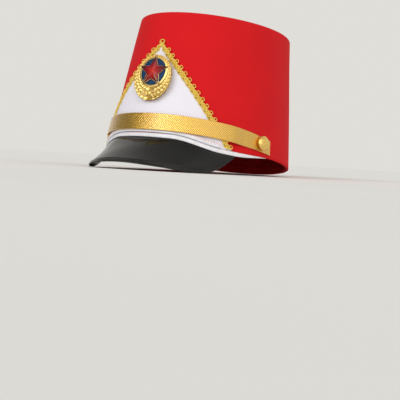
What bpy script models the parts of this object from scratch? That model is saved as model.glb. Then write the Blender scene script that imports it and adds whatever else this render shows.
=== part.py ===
"""Marching band hat: a stiff tapered crown with a front panel, braid, strap, badge and visor.

The pieces are made in the hat's own frame: +Z runs up the crown's axis, the front faces -Y and
+X is the wearer's left. Angles go round the crown from the front towards +X, heights are taken
from the plane of the rim, and a stand-off is measured outwards from the crown's outer face.
At the end the whole hat is tilted back onto the points that it rests on. Lengths are in metres.
"""
from math import asin, atan, atan2, copysign, cos, hypot, pi, radians, remainder, sin, sqrt, tan

import bmesh
import bpy
from mathutils import Matrix, Vector

# Fits
CLEARANCE = 0.0003
SHANK_CLEARANCE = 0.0003
MERGE_DISTANCE = 0.00001

# Crown
RIM_HALF_WIDTH = 0.0856
RIM_HALF_LENGTH = 0.1047
CROWN_HEIGHT = 0.1301
TOP_RISE = 0.0051
TOP_HALF_WIDTH = 0.0704
WALL = 0.0022
SHOULDER_RADIUS = 0.0032
SHOULDER_STEPS = 3
TOP_FLANGE = 0.0045
TOP_THICKNESS = 0.0018
TOP_LEDGE = 0.0030
CROWN_COLUMNS = 72
FOOT_FLAT = 0.00015

# Line where the visor leaves the piping: level at the front, lower towards the visor's ends
VISOR_LINE_DROP = 0.00665
LINE_FALL_START = radians(19)
LINE_FALL_END = radians(50)
LINE_RISE_START = radians(56)
LINE_RISE_END = radians(88)

# Hem inside the rim, from one end of the visor round the back to the other
HEM_HEIGHT = 0.0068
HEM_THICKNESS = 0.0009
HEM_RAISE = 0.0006
HEM_START = radians(61)
HEM_COLUMNS = 48

# White front panel: two straight slanting edges that meet at the apex of the braid
SLANT = radians(43.1)
BRAID_APEX = 0.0976
BRAID_WIDTH = 0.0072
BRAID_THICKNESS = 0.0012
BRAID_PITCH = 0.0080
BRAID_SCALLOP = 0.0010
ROWS_PER_SCALLOP = 4
FOOT_FOLLOWING = 4
PANEL_THICKNESS = 0.0008
PANEL_TUCK = 0.0030
PANEL_CORNER_HEIGHT = 0.0015
PANEL_COLUMNS = 12
ARC_STEPS = 12
HALVINGS = 24

# White piping rolls
PIPING_HEIGHT = 0.0044
PIPING_BULGE = 0.0024
PIPING_LIP = 0.0016
PIPING_END = radians(79.5)
PIPING_TAPER_START = radians(56)
PIPING_TAPER_END = radians(86)
PIPING_COLUMNS = 32
PANEL_ROLL_HEIGHT = 0.0046
PANEL_ROLL_THICKNESS = BRAID_THICKNESS
PANEL_ROLL_COLUMNS = 20

# Strap and its two buttons
STRAP_WIDTH = 0.0160
STRAP_THICKNESS = 0.0010
STRAP_HEIGHT = 0.0148
STRAP_DROP = 0.0041
STRAP_DROP_POWER = 3.0
STRAP_END = radians(83)
STRAP_SETTLE_START = radians(54.5)
STRAP_SETTLE_END = radians(63)
STRAP_END_OUT = 0.0005
STRAP_COLUMNS = 54
BUTTON_ANGLE = radians(75.5)
BUTTON_RADIUS = 0.00725
BUTTON_DOME = 0.0034
BUTTON_RIM = 0.0018
BUTTON_WASHER_RADIUS = 0.0040
BUTTON_SIDES = 20
DOME_STEPS = 4
SHANK_RADIUS = 0.0016
WASHER_THICKNESS = 0.0008
HOLE_SIDES = 14
HOLE_CUTTER_LENGTH = 0.020

# Visor
VISOR_END = radians(57.7)
VISOR_TIP_SHARE = 0.985
VISOR_REACH = 0.04525
VISOR_FRONT_POWER = 2.42
VISOR_TIP_POWER = 1.098
VISOR_THICKNESS = 0.0014
VISOR_FLANGE = 0.0055
VISOR_SLOPE = radians(39.3)
VISOR_SIDE_SLOPE = radians(50.4)
VISOR_FLARE = 0.064
VISOR_TURN_SHARE = 0.778
VISOR_COLUMNS = 32
VISOR_ROWS = 6
UNDER_PIPING_SLOPE = radians(42)

# Badge
BADGE_HEIGHT = 0.0621
PLATE_THICKNESS = 0.0016
PLATE_HALF_WIDTH = 0.0199
PLATE_HALF_HEIGHT = 0.0223
PLATE_SINK = 0.0056
ENAMEL_RADIUS = 0.0131
ENAMEL_THICKNESS = 0.0010
BEZEL_WIDTH = 0.0019
BEZEL_RISE = 0.0014
STAR_RADIUS = 0.0161
STAR_WAIST = 0.0072
STAR_EDGE = 0.0004
STAR_RISE = 0.0015
LEAF_RISE = 0.0013
LEAVES_PER_SIDE = 9
FIRST_LEAF = radians(18)
LEAF_SWEEP = radians(150)
LEAF_WIDTH_SHARE = 0.58
SHORT_LEAF = 0.0062
LONG_LEAF = 0.0092
LEAF_ROWS = (
    # share of the wreath's width, lean off the wreath's line in radians
    (0.27, -0.16),
    (0.76, 0.30),
)
KNOT_SHARE = 0.55
KNOT_HALF_WIDTH = 0.0034
KNOT_HALF_LENGTH = 0.0042
PLATE_SIDES = 48
BEZEL_SIDES = 32
POST_RADIUS = 0.0015
POST_HEAD_RADIUS = 0.0050
POST_SIDES = 16
FLOOR_CUTTER_DEPTH = 0.020

# Values that follow from the sizes above
LEAN = (RIM_HALF_WIDTH - TOP_HALF_WIDTH) / CROWN_HEIGHT
LEAN_ANGLE = atan(LEAN)
INNER_FACE = -WALL / cos(LEAN_ANGLE)
INSIDE = INNER_FACE - CLEARANCE
PANEL_OUT = CLEARANCE
TRIM_OUT = PANEL_OUT + PANEL_THICKNESS + CLEARANCE
STRAP_OUT = TRIM_OUT + BRAID_THICKNESS + CLEARANCE
PLATE_BACK = STRAP_OUT * cos(LEAN_ANGLE)
PLATE_FRONT = PLATE_BACK + PLATE_THICKNESS
PLATE_FOOT = PLATE_HALF_HEIGHT + PLATE_SINK


def smooth_step(value, start, end):
    """Rise smoothly from 0 at start to 1 at end."""
    share = min(max((value - start) / (end - start), 0.0), 1.0)
    return share * share * (3 - 2 * share)


def blend(first, second, share):
    """The value that lies share of the way from first to second."""
    return first + (second - first) * share


def on_crown(angle, height, out=0.0):
    """A point at a stand-off from the crown's outer face."""
    reach = out - LEAN * height
    across = (RIM_HALF_WIDTH + reach) * sin(angle)
    along = -(RIM_HALF_LENGTH + reach) * cos(angle)
    return Vector((across, along, height))


def facing(angle):
    """Compass angle that the crown's wall faces at a crown angle."""
    return atan2(RIM_HALF_LENGTH * sin(angle), RIM_HALF_WIDTH * cos(angle))


def crown_frame(angle, height):
    """Matrix with its origin on the outer face, X round the crown, Y up the wall and Z outwards."""
    turn = facing(angle)
    round_the_crown = Vector((cos(turn), sin(turn), 0))
    up_the_wall = Vector((-LEAN * sin(turn), LEAN * cos(turn), 1)).normalized()
    outwards = round_the_crown.cross(up_the_wall)
    turned = Matrix((round_the_crown, up_the_wall, outwards)).transposed().to_4x4()
    return Matrix.Translation(on_crown(angle, height)) @ turned


def from_front(angle):
    """How far round from the front an angle lies, on either side."""
    return abs(remainder(angle, 2 * pi))


def visor_line(angle):
    """Height of the line where the visor comes out from under the piping."""
    fall = smooth_step(from_front(angle), LINE_FALL_START, LINE_FALL_END)
    rise = smooth_step(from_front(angle), LINE_RISE_START, LINE_RISE_END)
    return -VISOR_LINE_DROP * fall * (1 - rise)


def piping_height(angle):
    """Height of the lower roll, which tapers away past the visor's ends."""
    return PIPING_HEIGHT * (1 - smooth_step(from_front(angle), PIPING_TAPER_START, PIPING_TAPER_END))


def rim_line(angle):
    """Height of the crown's bottom edge."""
    return visor_line(angle) + piping_height(angle)


def angle_at_arc(arc, height):
    """Crown angle reached after an arc length from the front, at one height."""
    angle = 0.0
    for _ in range(ARC_STEPS):
        across = (RIM_HALF_WIDTH - LEAN * height) * cos(angle)
        along = (RIM_HALF_LENGTH - LEAN * height) * sin(angle)
        angle += arc / ARC_STEPS / hypot(across, along)
    return angle


def slanting_edge(height, apex):
    """Crown angle of a straight edge that runs down from the apex at SLANT, at one height.

    It is straight on the crown's flat pattern, which is a sector of a cone.
    """
    mean_radius = (RIM_HALF_WIDTH + RIM_HALF_LENGTH) / 2
    pattern_apex = (mean_radius - LEAN * apex) / sin(LEAN_ANGLE)
    pattern_radius = pattern_apex + (apex - height) / cos(LEAN_ANGLE)
    turn = SLANT - asin(sin(SLANT) * pattern_apex / pattern_radius)
    return angle_at_arc(pattern_radius * turn, height)


def edge_height(angle, apex):
    """Height of the same slanting edge at a crown angle, found by halving the range it lies in."""
    low = 0.0
    high = apex
    for _ in range(HALVINGS):
        middle = (low + high) / 2
        if slanting_edge(middle, apex) > abs(angle):
            low = middle
        else:
            high = middle
    return high


def remove_everything():
    """Start from an empty scene."""
    for item in list(bpy.data.objects):
        bpy.data.objects.remove(item, do_unlink=True)


def new_collection(name):
    """A collection in the scene."""
    collection = bpy.data.collections.new(name)
    bpy.context.scene.collection.children.link(collection)
    return collection


def new_material(name, colour, roughness, metallic=0.0):
    """A material with a Principled shader."""
    material = bpy.data.materials.new(name)
    material.use_nodes = True
    shader = material.node_tree.nodes["Principled BSDF"]
    shader.inputs["Base Color"].default_value = (*colour, 1.0)
    shader.inputs["Roughness"].default_value = roughness
    shader.inputs["Metallic"].default_value = metallic
    material.diffuse_color = (*colour, 1.0)
    return material


remove_everything()
HAT = new_collection("marching_band_hat")
CUTTERS = new_collection("cutters")
REST = bpy.data.objects.new("hat_at_rest", None)
HAT.objects.link(REST)


def red_cloth():
    return new_material("red_cloth", (0.68, 0.020, 0.024), 0.85)


def hem_cloth():
    return new_material("hem_cloth", (0.30, 0.008, 0.012), 0.9)


def white_cloth():
    return new_material("white_cloth", (0.84, 0.82, 0.90), 0.8)


def white_piping():
    return new_material("white_piping", (0.80, 0.79, 0.84), 0.55)


def gold_braid():
    return new_material("gold_braid", (0.85, 0.55, 0.11), 0.4, 0.7)


def gold_strap():
    return new_material("gold_strap", (0.83, 0.52, 0.12), 0.35, 0.8)


def gold_metal():
    return new_material("gold_metal", (0.86, 0.58, 0.16), 0.25, 1.0)


def black_patent():
    return new_material("black_patent", (0.012, 0.012, 0.012), 0.12)


def blue_enamel():
    return new_material("blue_enamel", (0.02, 0.07, 0.22), 0.15)


def red_enamel():
    return new_material("red_enamel", (0.28, 0.008, 0.015), 0.15)


def plain_steel():
    return new_material("plain_steel", (0.55, 0.55, 0.55), 0.35, 1.0)


def place(name, shape, material=None, matrix=None):
    """Turn a bmesh into an object of the hat, or into a cutter where no material is given."""
    mesh = bpy.data.meshes.new(name)
    shape.to_mesh(mesh)
    shape.free()
    mesh.shade_smooth()
    mesh.set_sharp_from_angle(angle=radians(35))
    item = bpy.data.objects.new(name, mesh)
    if matrix is not None:
        item.matrix_basis = matrix
    item.parent = REST
    if material is None:
        CUTTERS.objects.link(item)
        item.hide_render = True
        item.display_type = "WIRE"
    else:
        mesh.materials.append(material)
        HAT.objects.link(item)
    return item


def loft(columns, section, cap_ends=False):
    """A sheet through columns + 1 sections, each a list of points, with its seams closed."""
    sections = [section(column / columns) for column in range(columns + 1)]
    rows = len(sections[0]) - 1
    sheet = bmesh.new()
    bmesh.ops.create_grid(sheet, x_segments=columns, y_segments=rows, size=0.5)
    for vertex in sheet.verts:
        column = round((vertex.co.x + 0.5) * columns)
        row = round((vertex.co.y + 0.5) * rows)
        vertex.co = sections[column][row]
    bmesh.ops.remove_doubles(sheet, verts=sheet.verts, dist=MERGE_DISTANCE)
    if cap_ends:
        bmesh.ops.holes_fill(sheet, edges=sheet.edges, sides=0)
        bmesh.ops.recalc_face_normals(sheet, faces=sheet.faces)
    return sheet


def thicken(item, thickness):
    """Give a sheet its thickness, on the side away from its normals."""
    solidify = item.modifiers.new("thickness", "SOLIDIFY")
    solidify.thickness = thickness
    solidify.offset = -1.0
    solidify.use_even_offset = True


def combine(item, other, operation):
    """Join another shape to an item, or cut it away."""
    boolean = item.modifiers.new(operation.lower(), "BOOLEAN")
    boolean.operation = operation
    boolean.object = other
    boolean.use_self = operation == "UNION"


def hole_cutter(name, radius, matrix):
    """A round cutter along the matrix's Z axis, through the wall and everything that lies on it."""
    shape = bmesh.new()
    bmesh.ops.create_cone(shape, cap_ends=True, segments=HOLE_SIDES, radius1=radius, radius2=radius,
                          depth=HOLE_CUTTER_LENGTH)
    return place(name, shape, matrix=matrix)


def turned(name, profile, material, matrix, sides):
    """A solid of revolution about Z, from a profile of (radius, height) pairs, top to bottom."""
    outline = bmesh.new()
    points = [outline.verts.new((radius, 0, height)) for radius, height in profile]
    for first, second in zip(points, points[1:]):
        outline.edges.new((first, second))
    item = place(name, outline, material, matrix)
    screw = item.modifiers.new("turned", "SCREW")
    screw.axis = "Z"
    screw.steps = sides
    screw.render_steps = sides
    screw.use_merge_vertices = True
    screw.merge_threshold = MERGE_DISTANCE
    return item


def top_height(angle):
    """Height of the crown's top, which slopes up towards the back."""
    return CROWN_HEIGHT - TOP_RISE * cos(angle)


def shoulder_reach(angle):
    """Where the centre of the shoulder's rounding lies, measured outwards from the rim's oval."""
    tangent_height = top_height(angle) - SHOULDER_RADIUS + SHOULDER_RADIUS * sin(LEAN_ANGLE)
    return -LEAN * tangent_height - SHOULDER_RADIUS * cos(LEAN_ANGLE)


def crown_section(angle):
    """Points up the wall, over the rounded shoulder and in along the top flange."""
    rise = top_height(angle) - SHOULDER_RADIUS
    centre_reach = shoulder_reach(angle)
    points = [on_crown(angle, rim_line(angle))]
    for step in range(SHOULDER_STEPS + 1):
        turn = blend(LEAN_ANGLE, pi / 2, step / SHOULDER_STEPS)
        height = rise + SHOULDER_RADIUS * sin(turn)
        reach = centre_reach + SHOULDER_RADIUS * cos(turn)
        points.append(on_crown(angle, height, reach + LEAN * height))
    points.append(on_crown(angle, top_height(angle), centre_reach - TOP_FLANGE + LEAN * top_height(angle)))
    return points


def make_crown_wall():
    """The hollow tapered wall, with holes for the badge's post and the buttons' shanks."""
    wall = place("crown_wall", loft(CROWN_COLUMNS, lambda u: crown_section(2 * pi * u)), red_cloth())
    thicken(wall, WALL)
    return wall


def make_crown_top():
    """The top disc, flush with the flange, with a ledge that tucks under it."""

    def section(u):
        angle = 2 * pi * u
        opening = shoulder_reach(angle) - TOP_FLANGE
        under_flange = top_height(angle) - WALL - CLEARANCE
        steps = (
            (opening + TOP_LEDGE, under_flange - TOP_THICKNESS),
            (opening + TOP_LEDGE, under_flange),
            (opening - CLEARANCE, under_flange),
            (opening - CLEARANCE, top_height(angle)),
        )
        return [on_crown(angle, height, reach + LEAN * height) for reach, height in steps]

    return place("crown_top", loft(CROWN_COLUMNS, section, cap_ends=True), red_cloth())


def make_inner_hem():
    """The turned-up hem inside the rim, from the visor's one end round the back to the other."""

    def section(u):
        angle = blend(HEM_START, 2 * pi - HEM_START, u)
        foot = rim_line(angle) + HEM_RAISE
        return [on_crown(angle, foot + HEM_HEIGHT * share, INSIDE) for share in (0.0, 1.0)]

    hem = place("inner_hem", loft(HEM_COLUMNS, section), hem_cloth())
    thicken(hem, HEM_THICKNESS)
    return hem


def make_front_panel():
    """The white triangle, from the rim up to its two slanting edges under the braid."""
    apex = BRAID_APEX - PANEL_TUCK / sin(SLANT)
    corner = slanting_edge(PANEL_CORNER_HEIGHT, apex)

    def section(u):
        angle = blend(-corner, corner, u)
        out = PANEL_OUT + PANEL_THICKNESS
        return [on_crown(angle, rim_line(angle), out), on_crown(angle, edge_height(angle, apex), out)]

    panel = place("front_panel", loft(2 * PANEL_COLUMNS, section), white_cloth())
    thicken(panel, PANEL_THICKNESS)
    return panel


def make_panel_braid():
    """The gold braid down both slanting edges, mitred at the apex, with scalloped edges."""
    side_length = BRAID_APEX / cos(SLANT)
    loops = round(side_length / BRAID_PITCH)
    rows = 2 * loops * ROWS_PER_SCALLOP

    def section(u):
        side = abs(2 * u - 1)
        wave = abs(sin(pi * loops * side))
        scallop = BRAID_SCALLOP * (1 - wave) / sin(SLANT)
        points = []
        for apex in (BRAID_APEX - BRAID_WIDTH / sin(SLANT) + scallop, BRAID_APEX - scallop):
            height = blend(apex, 0.0, side)
            angle = copysign(slanting_edge(height, apex), 2 * u - 1)
            foot = rim_line(angle) * side ** FOOT_FOLLOWING
            points.append(on_crown(angle, height + foot, TRIM_OUT + BRAID_THICKNESS))
        return points

    braid = place("panel_braid", loft(rows, section), gold_braid())
    thicken(braid, BRAID_THICKNESS)
    return braid


def make_panel_piping():
    """The upper white roll along the panel's foot, between the braid's inner edges."""
    inner_apex = BRAID_APEX - (BRAID_WIDTH + 2 * CLEARANCE) / sin(SLANT)
    roll = (
        (0.0, 0.0),
        (0.65, 0.10),
        (1.0, 0.50),
        (0.65, 0.90),
        (0.0, 1.0),
        (0.0, 0.0),
    )

    def section(u):
        points = []
        for out_share, height_share in roll:
            above_rim = CLEARANCE + PANEL_ROLL_HEIGHT * height_share
            angle = slanting_edge(above_rim, inner_apex) * (2 * u - 1)
            out = TRIM_OUT + PANEL_ROLL_THICKNESS * out_share
            points.append(on_crown(angle, rim_line(angle) + above_rim, out))
        return points

    return place("panel_piping", loft(PANEL_ROLL_COLUMNS, section, cap_ends=True), white_piping())


def under_piping(out, angle):
    """Height of the slanting underside of the lower roll at a stand-off from the wall."""
    slope = tan(UNDER_PIPING_SLOPE) * piping_height(angle) / PIPING_HEIGHT
    return visor_line(angle) + slope * (PIPING_LIP - out)


def make_visor_piping():
    """The lower white roll between the rim and the visor, thinning out past the visor's ends."""

    def section(u):
        angle = blend(-PIPING_END, PIPING_END, u)
        low = visor_line(angle)
        high = rim_line(angle) - CLEARANCE
        inner = INNER_FACE
        corners = (
            (inner, under_piping(inner, angle)),
            (PIPING_LIP, low),
            (PIPING_BULGE, blend(low, high, 0.30)),
            (PIPING_BULGE, blend(low, high, 0.70)),
            (PIPING_LIP * 0.5, high),
            (inner, high),
            (inner, under_piping(inner, angle)),
        )
        return [on_crown(angle, height, out) for out, height in corners]

    return place("visor_piping", loft(PIPING_COLUMNS, section, cap_ends=True), white_piping())


def strap_height(angle):
    """Height of the strap's middle, which drops towards its ends."""
    share = abs(angle) / STRAP_END
    return STRAP_HEIGHT - STRAP_DROP * share ** STRAP_DROP_POWER


def strap_out(angle):
    """Stand-off of the strap's inner face: over the braid in front, near the wall at its ends."""
    settled = smooth_step(abs(angle), STRAP_SETTLE_START, STRAP_SETTLE_END)
    return blend(STRAP_OUT, STRAP_END_OUT, settled)


def make_front_strap():
    """The gold strap round the front, with a hole at each end for a button's shank."""

    def section(u):
        angle = blend(-STRAP_END, STRAP_END, u)
        middle = strap_height(angle)
        out = strap_out(angle) + STRAP_THICKNESS
        return [on_crown(angle, middle + STRAP_WIDTH * share, out) for share in (-0.5, 0.0, 0.5)]

    strap = place("front_strap", loft(STRAP_COLUMNS, section), gold_strap())
    thicken(strap, STRAP_THICKNESS)
    return strap


def make_button(side):
    """A domed button with a shank through strap and wall and a small washer inside."""
    name = "button_left" if side > 0 else "button_right"
    angle = side * BUTTON_ANGLE
    matrix = crown_frame(angle, strap_height(angle))
    seat = STRAP_END_OUT + STRAP_THICKNESS + 2 * CLEARANCE
    washer_top = -WALL - CLEARANCE
    profile = [(0.0, seat + BUTTON_RIM + BUTTON_DOME)]
    for step in range(1, DOME_STEPS + 1):
        turn = pi / 2 * (1 - step / DOME_STEPS)
        radius = BUTTON_RADIUS * cos(turn)
        profile.append((radius, seat + BUTTON_RIM + BUTTON_DOME * sin(turn)))
    profile += [
        (BUTTON_RADIUS, seat),
        (SHANK_RADIUS, seat),
        (SHANK_RADIUS, washer_top),
        (BUTTON_WASHER_RADIUS, washer_top),
        (BUTTON_WASHER_RADIUS, washer_top - WASHER_THICKNESS),
        (0.0, washer_top - WASHER_THICKNESS),
    ]
    return turned(name, profile, gold_metal(), matrix, BUTTON_SIDES)


def visor_reach(angle):
    """Length of the visor from the piping to its outer edge."""
    share = abs(angle) / VISOR_END
    return VISOR_REACH * (1 - share ** VISOR_FRONT_POWER) ** VISOR_TIP_POWER


def make_visor():
    """The visor: outer edge, sloping face, run under the piping, bend and flange inside the wall."""
    end = VISOR_END * VISOR_TIP_SHARE
    drop = CLEARANCE / cos(UNDER_PIPING_SLOPE)

    def section(u):
        angle = blend(-end, end, u)
        heading = facing(angle) * VISOR_TURN_SHARE
        outwards = Vector((sin(heading), -cos(heading), 0))
        slope = VISOR_SLOPE + VISOR_SIDE_SLOPE * (angle / VISOR_END) ** 2
        lip = on_crown(angle, under_piping(PIPING_LIP, angle) - drop, PIPING_LIP)
        reach = visor_reach(angle)
        points = []
        for row in range(VISOR_ROWS + 1):
            share = 1 - row / VISOR_ROWS
            forward = reach * (share * cos(slope) - VISOR_FLARE * share * (1 - share))
            points.append(lip + outwards * forward - Vector((0, 0, reach * share * sin(slope))))
        points.append(on_crown(angle, under_piping(INSIDE, angle) - drop, INSIDE))
        points.append(on_crown(angle, rim_line(angle) + VISOR_FLANGE, INSIDE))
        return points

    visor = place("visor", loft(VISOR_COLUMNS, section), black_patent())
    thicken(visor, VISOR_THICKNESS)
    return visor


def plate_radius(turn):
    """Reach of the badge's oval plate from the disc's centre, which lies above the oval's own centre."""
    aside = sin(turn) / PLATE_HALF_WIDTH
    upward = cos(turn) / PLATE_HALF_HEIGHT
    sink = PLATE_SINK / PLATE_HALF_HEIGHT
    square = aside * aside + upward * upward
    return (sqrt(square - (aside * sink) ** 2) - upward * sink) / square


def add_leaf(shape, turn, radius, tilt, length, width):
    """A low ridged leaf that points up along the wreath, on the side that turn gives."""
    centre = Vector((radius * sin(turn), radius * cos(turn), PLATE_FRONT))
    heading = -turn + copysign(pi / 2 - tilt, turn) + pi / 2
    pointing = Matrix.Rotation(heading, 4, "Z")
    size = Matrix.Diagonal((length, width, LEAF_RISE * 2, 1))
    matrix = Matrix.Translation(centre) @ pointing @ size
    bmesh.ops.create_cone(shape, cap_ends=True, segments=4, radius1=0.5, radius2=0.0, depth=1.0, matrix=matrix)


def make_badge_wreath():
    """The cast badge: back plate, round bezel, two sprays of laurel leaves and a plain knot."""
    frame = crown_frame(0.0, BADGE_HEIGHT)
    shape = bmesh.new()
    raise_plate = Matrix.Translation((0, 0, (PLATE_BACK + PLATE_FRONT) / 2))
    bmesh.ops.create_cone(shape, cap_ends=True, segments=PLATE_SIDES, radius1=1, radius2=1, depth=PLATE_THICKNESS,
                          matrix=raise_plate)
    for vertex in shape.verts:
        turn = atan2(vertex.co.x, vertex.co.y)
        radius = plate_radius(turn)
        vertex.co.x = radius * sin(turn)
        vertex.co.y = radius * cos(turn)
    badge = place("badge_wreath", shape, gold_metal(), frame)

    inner = ENAMEL_RADIUS + CLEARANCE
    outer = inner + BEZEL_WIDTH
    sink = PLATE_FRONT - PLATE_THICKNESS / 2
    top = PLATE_FRONT + BEZEL_RISE
    ring = [(inner, top), (outer - BEZEL_RISE / 2, top), (outer, PLATE_FRONT), (outer, sink), (inner, sink),
            (inner, top)]
    bezel = turned("bezel", ring, None, frame, BEZEL_SIDES)
    combine(badge, bezel, "UNION")

    leaves = bmesh.new()
    for side in (1, -1):
        for leaf in range(LEAVES_PER_SIDE):
            turn = pi - FIRST_LEAF - leaf * LEAF_SWEEP / (LEAVES_PER_SIDE - 1)
            band = plate_radius(turn) - outer
            length = blend(SHORT_LEAF, LONG_LEAF, band / (PLATE_FOOT - outer))
            for share, tilt in LEAF_ROWS:
                add_leaf(leaves, side * turn, outer + band * share, tilt, length, band * LEAF_WIDTH_SHARE)
    sprays = place("sprays", leaves, matrix=frame)
    combine(badge, sprays, "UNION")

    knot_shape = bmesh.new()
    knot_place = Matrix.Translation((0, -blend(outer, PLATE_FOOT, KNOT_SHARE), PLATE_FRONT))
    knot_size = Matrix.Diagonal((KNOT_HALF_WIDTH, KNOT_HALF_LENGTH, LEAF_RISE * 1.5, 1))
    bmesh.ops.create_uvsphere(knot_shape, u_segments=8, v_segments=6, radius=1.0, matrix=knot_place @ knot_size)
    knot = place("knot", knot_shape, matrix=frame)
    combine(badge, knot, "UNION")
    return badge


def make_badge_enamel():
    """The blue disc inside the bezel."""
    floor = PLATE_FRONT + CLEARANCE
    shape = bmesh.new()
    raised = Matrix.Translation((0, 0, floor + ENAMEL_THICKNESS / 2))
    bmesh.ops.create_cone(shape, cap_ends=True, segments=BEZEL_SIDES, radius1=ENAMEL_RADIUS, radius2=ENAMEL_RADIUS,
                          depth=ENAMEL_THICKNESS, matrix=raised)
    return place("badge_enamel", shape, blue_enamel(), crown_frame(0.0, BADGE_HEIGHT))


def make_badge_star():
    """The plain five-pointed star, with a ridge to each point."""
    floor = PLATE_FRONT + max(ENAMEL_THICKNESS + CLEARANCE, BEZEL_RISE) + CLEARANCE
    shape = bmesh.new()
    raised = Matrix.Translation((0, 0, floor + STAR_EDGE + STAR_RISE / 2))
    bmesh.ops.create_cone(shape, cap_ends=True, segments=10, radius1=1.0, radius2=0.0, depth=STAR_RISE,
                          matrix=raised)
    rim = [vertex for vertex in shape.verts if hypot(vertex.co.x, vertex.co.y) > 0.5]
    rim.sort(key=lambda vertex: atan2(vertex.co.y, vertex.co.x))
    for index, vertex in enumerate(rim):
        radius = STAR_RADIUS if index % 2 == 0 else STAR_WAIST
        turn = index * pi / 5 + pi / 2
        vertex.co.x = radius * cos(turn)
        vertex.co.y = radius * sin(turn)
    base = [face for face in shape.faces if len(face.verts) > 3]
    lowered = bmesh.ops.extrude_face_region(shape, geom=base)
    corners = [item for item in lowered["geom"] if isinstance(item, bmesh.types.BMVert)]
    bmesh.ops.translate(shape, verts=corners, vec=(0, 0, -STAR_EDGE))
    bmesh.ops.delete(shape, geom=base, context="FACES_ONLY")
    return place("badge_star", shape, red_enamel(), crown_frame(0.0, BADGE_HEIGHT))


def make_badge_post():
    """The plain hidden post behind the badge, with its head inside the crown."""
    tip = PLATE_BACK - CLEARANCE
    head_top = -WALL - CLEARANCE
    profile = [
        (0.0, tip),
        (POST_RADIUS, tip),
        (POST_RADIUS, head_top),
        (POST_HEAD_RADIUS, head_top),
        (POST_HEAD_RADIUS, head_top - WASHER_THICKNESS),
        (0.0, head_top - WASHER_THICKNESS),
    ]
    return turned("badge_post", profile, plain_steel(), crown_frame(0.0, BADGE_HEIGHT), POST_SIDES)


def cut_holes(wall, panel, strap):
    """Holes through wall, panel and strap for the badge's post and the buttons' shanks."""
    post_hole = hole_cutter("post_hole", POST_RADIUS + SHANK_CLEARANCE, crown_frame(0.0, BADGE_HEIGHT))
    combine(wall, post_hole, "DIFFERENCE")
    combine(panel, post_hole, "DIFFERENCE")
    for side in (1, -1):
        angle = side * BUTTON_ANGLE
        frame = crown_frame(angle, strap_height(angle))
        hole = hole_cutter("shank_hole", SHANK_RADIUS + SHANK_CLEARANCE, frame)
        combine(wall, hole, "DIFFERENCE")
        combine(strap, hole, "DIFFERENCE")


def world_points(item):
    """The item's finished points in the world."""
    finished = item.evaluated_get(bpy.context.evaluated_depsgraph_get())
    return [finished.matrix_world @ vertex.co for vertex in finished.data.vertices]


def set_down(wall, visor, pieces):
    """Tilt the hat back until it rests on the visor and the back of its rim, and level that foot."""
    bpy.context.view_layer.update()
    tilt = 0.0
    for point in world_points(visor):
        span = RIM_HALF_LENGTH - point.y
        tilt = max(tilt, atan2(-point.z, span) + asin(FOOT_FLAT / hypot(span, point.z)))
    REST.rotation_euler.x = -tilt
    REST.location.z = RIM_HALF_LENGTH * sin(tilt) - FOOT_FLAT
    bpy.context.view_layer.update()
    lengthwise = [point.y for piece in pieces for point in world_points(piece)]
    REST.location.y = -(min(lengthwise) + max(lengthwise)) / 2

    shape = bmesh.new()
    bmesh.ops.create_cube(shape, size=1.0)
    bmesh.ops.scale(shape, verts=shape.verts, vec=(3 * RIM_HALF_WIDTH, 3 * RIM_HALF_LENGTH, FLOOR_CUTTER_DEPTH))
    floor = place("floor_cutter", shape)
    floor.parent = None
    floor.location.z = -FLOOR_CUTTER_DEPTH / 2
    combine(wall, floor, "DIFFERENCE")


def make_hat():
    """Make every piece and set the hat down."""
    wall = make_crown_wall()
    panel = make_front_panel()
    strap = make_front_strap()
    visor = make_visor()
    pieces = [wall, panel, strap, visor, make_crown_top(), make_inner_hem(), make_panel_braid(),
              make_panel_piping(), make_visor_piping(), make_button(1), make_button(-1),
              make_badge_wreath(), make_badge_enamel(), make_badge_star(), make_badge_post()]
    cut_holes(wall, panel, strap)
    set_down(wall, visor, pieces)


make_hat()
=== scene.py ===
"""The looks of the marching band hat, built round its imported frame.

The pieces are made in the hat's own frame, as the solids are: +Z runs up the crown's axis, the
front faces -Y, angles go round from the front towards +X, heights are taken from the plane of the
rim and stand-offs from the crown's outer face. HAT_TO_ROW then sets them down as the hat rests.
Lengths are in metres.
"""

from math import atan, cos, pi, radians, sin, tan

import bpy
import numpy as np
from mathutils import Matrix, Vector


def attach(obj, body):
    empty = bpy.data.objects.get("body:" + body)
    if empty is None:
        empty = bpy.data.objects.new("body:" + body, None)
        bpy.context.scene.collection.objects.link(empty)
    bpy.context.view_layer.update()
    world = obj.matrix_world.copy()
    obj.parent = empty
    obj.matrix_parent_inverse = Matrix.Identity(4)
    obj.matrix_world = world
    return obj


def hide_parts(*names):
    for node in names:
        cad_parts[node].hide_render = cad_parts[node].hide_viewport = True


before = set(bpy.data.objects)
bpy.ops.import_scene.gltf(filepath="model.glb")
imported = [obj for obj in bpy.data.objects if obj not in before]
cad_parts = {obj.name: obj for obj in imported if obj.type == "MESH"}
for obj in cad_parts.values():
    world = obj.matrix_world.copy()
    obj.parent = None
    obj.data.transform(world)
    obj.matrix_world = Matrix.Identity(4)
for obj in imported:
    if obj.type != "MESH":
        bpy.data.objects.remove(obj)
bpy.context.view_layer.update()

# The hat at rest
REST_TILT = radians(8.51753)
REST_PLACE = Vector((0, 0.0181264, 0.0153573))
LOWEST = 0.00005

# Crown
RIM_HALF_WIDTH = 0.0856
RIM_HALF_LENGTH = 0.1047
CROWN_HEIGHT = 0.1301
TOP_RISE = 0.0051
TOP_HALF_WIDTH = 0.0704
WALL = 0.0022
SHOULDER_RADIUS = 0.0032
TOP_FLANGE = 0.0045
LEAN = (RIM_HALF_WIDTH - TOP_HALF_WIDTH) / CROWN_HEIGHT
LEAN_ANGLE = atan(LEAN)
SLANTED_WALL = WALL / cos(LEAN_ANGLE)

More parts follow.
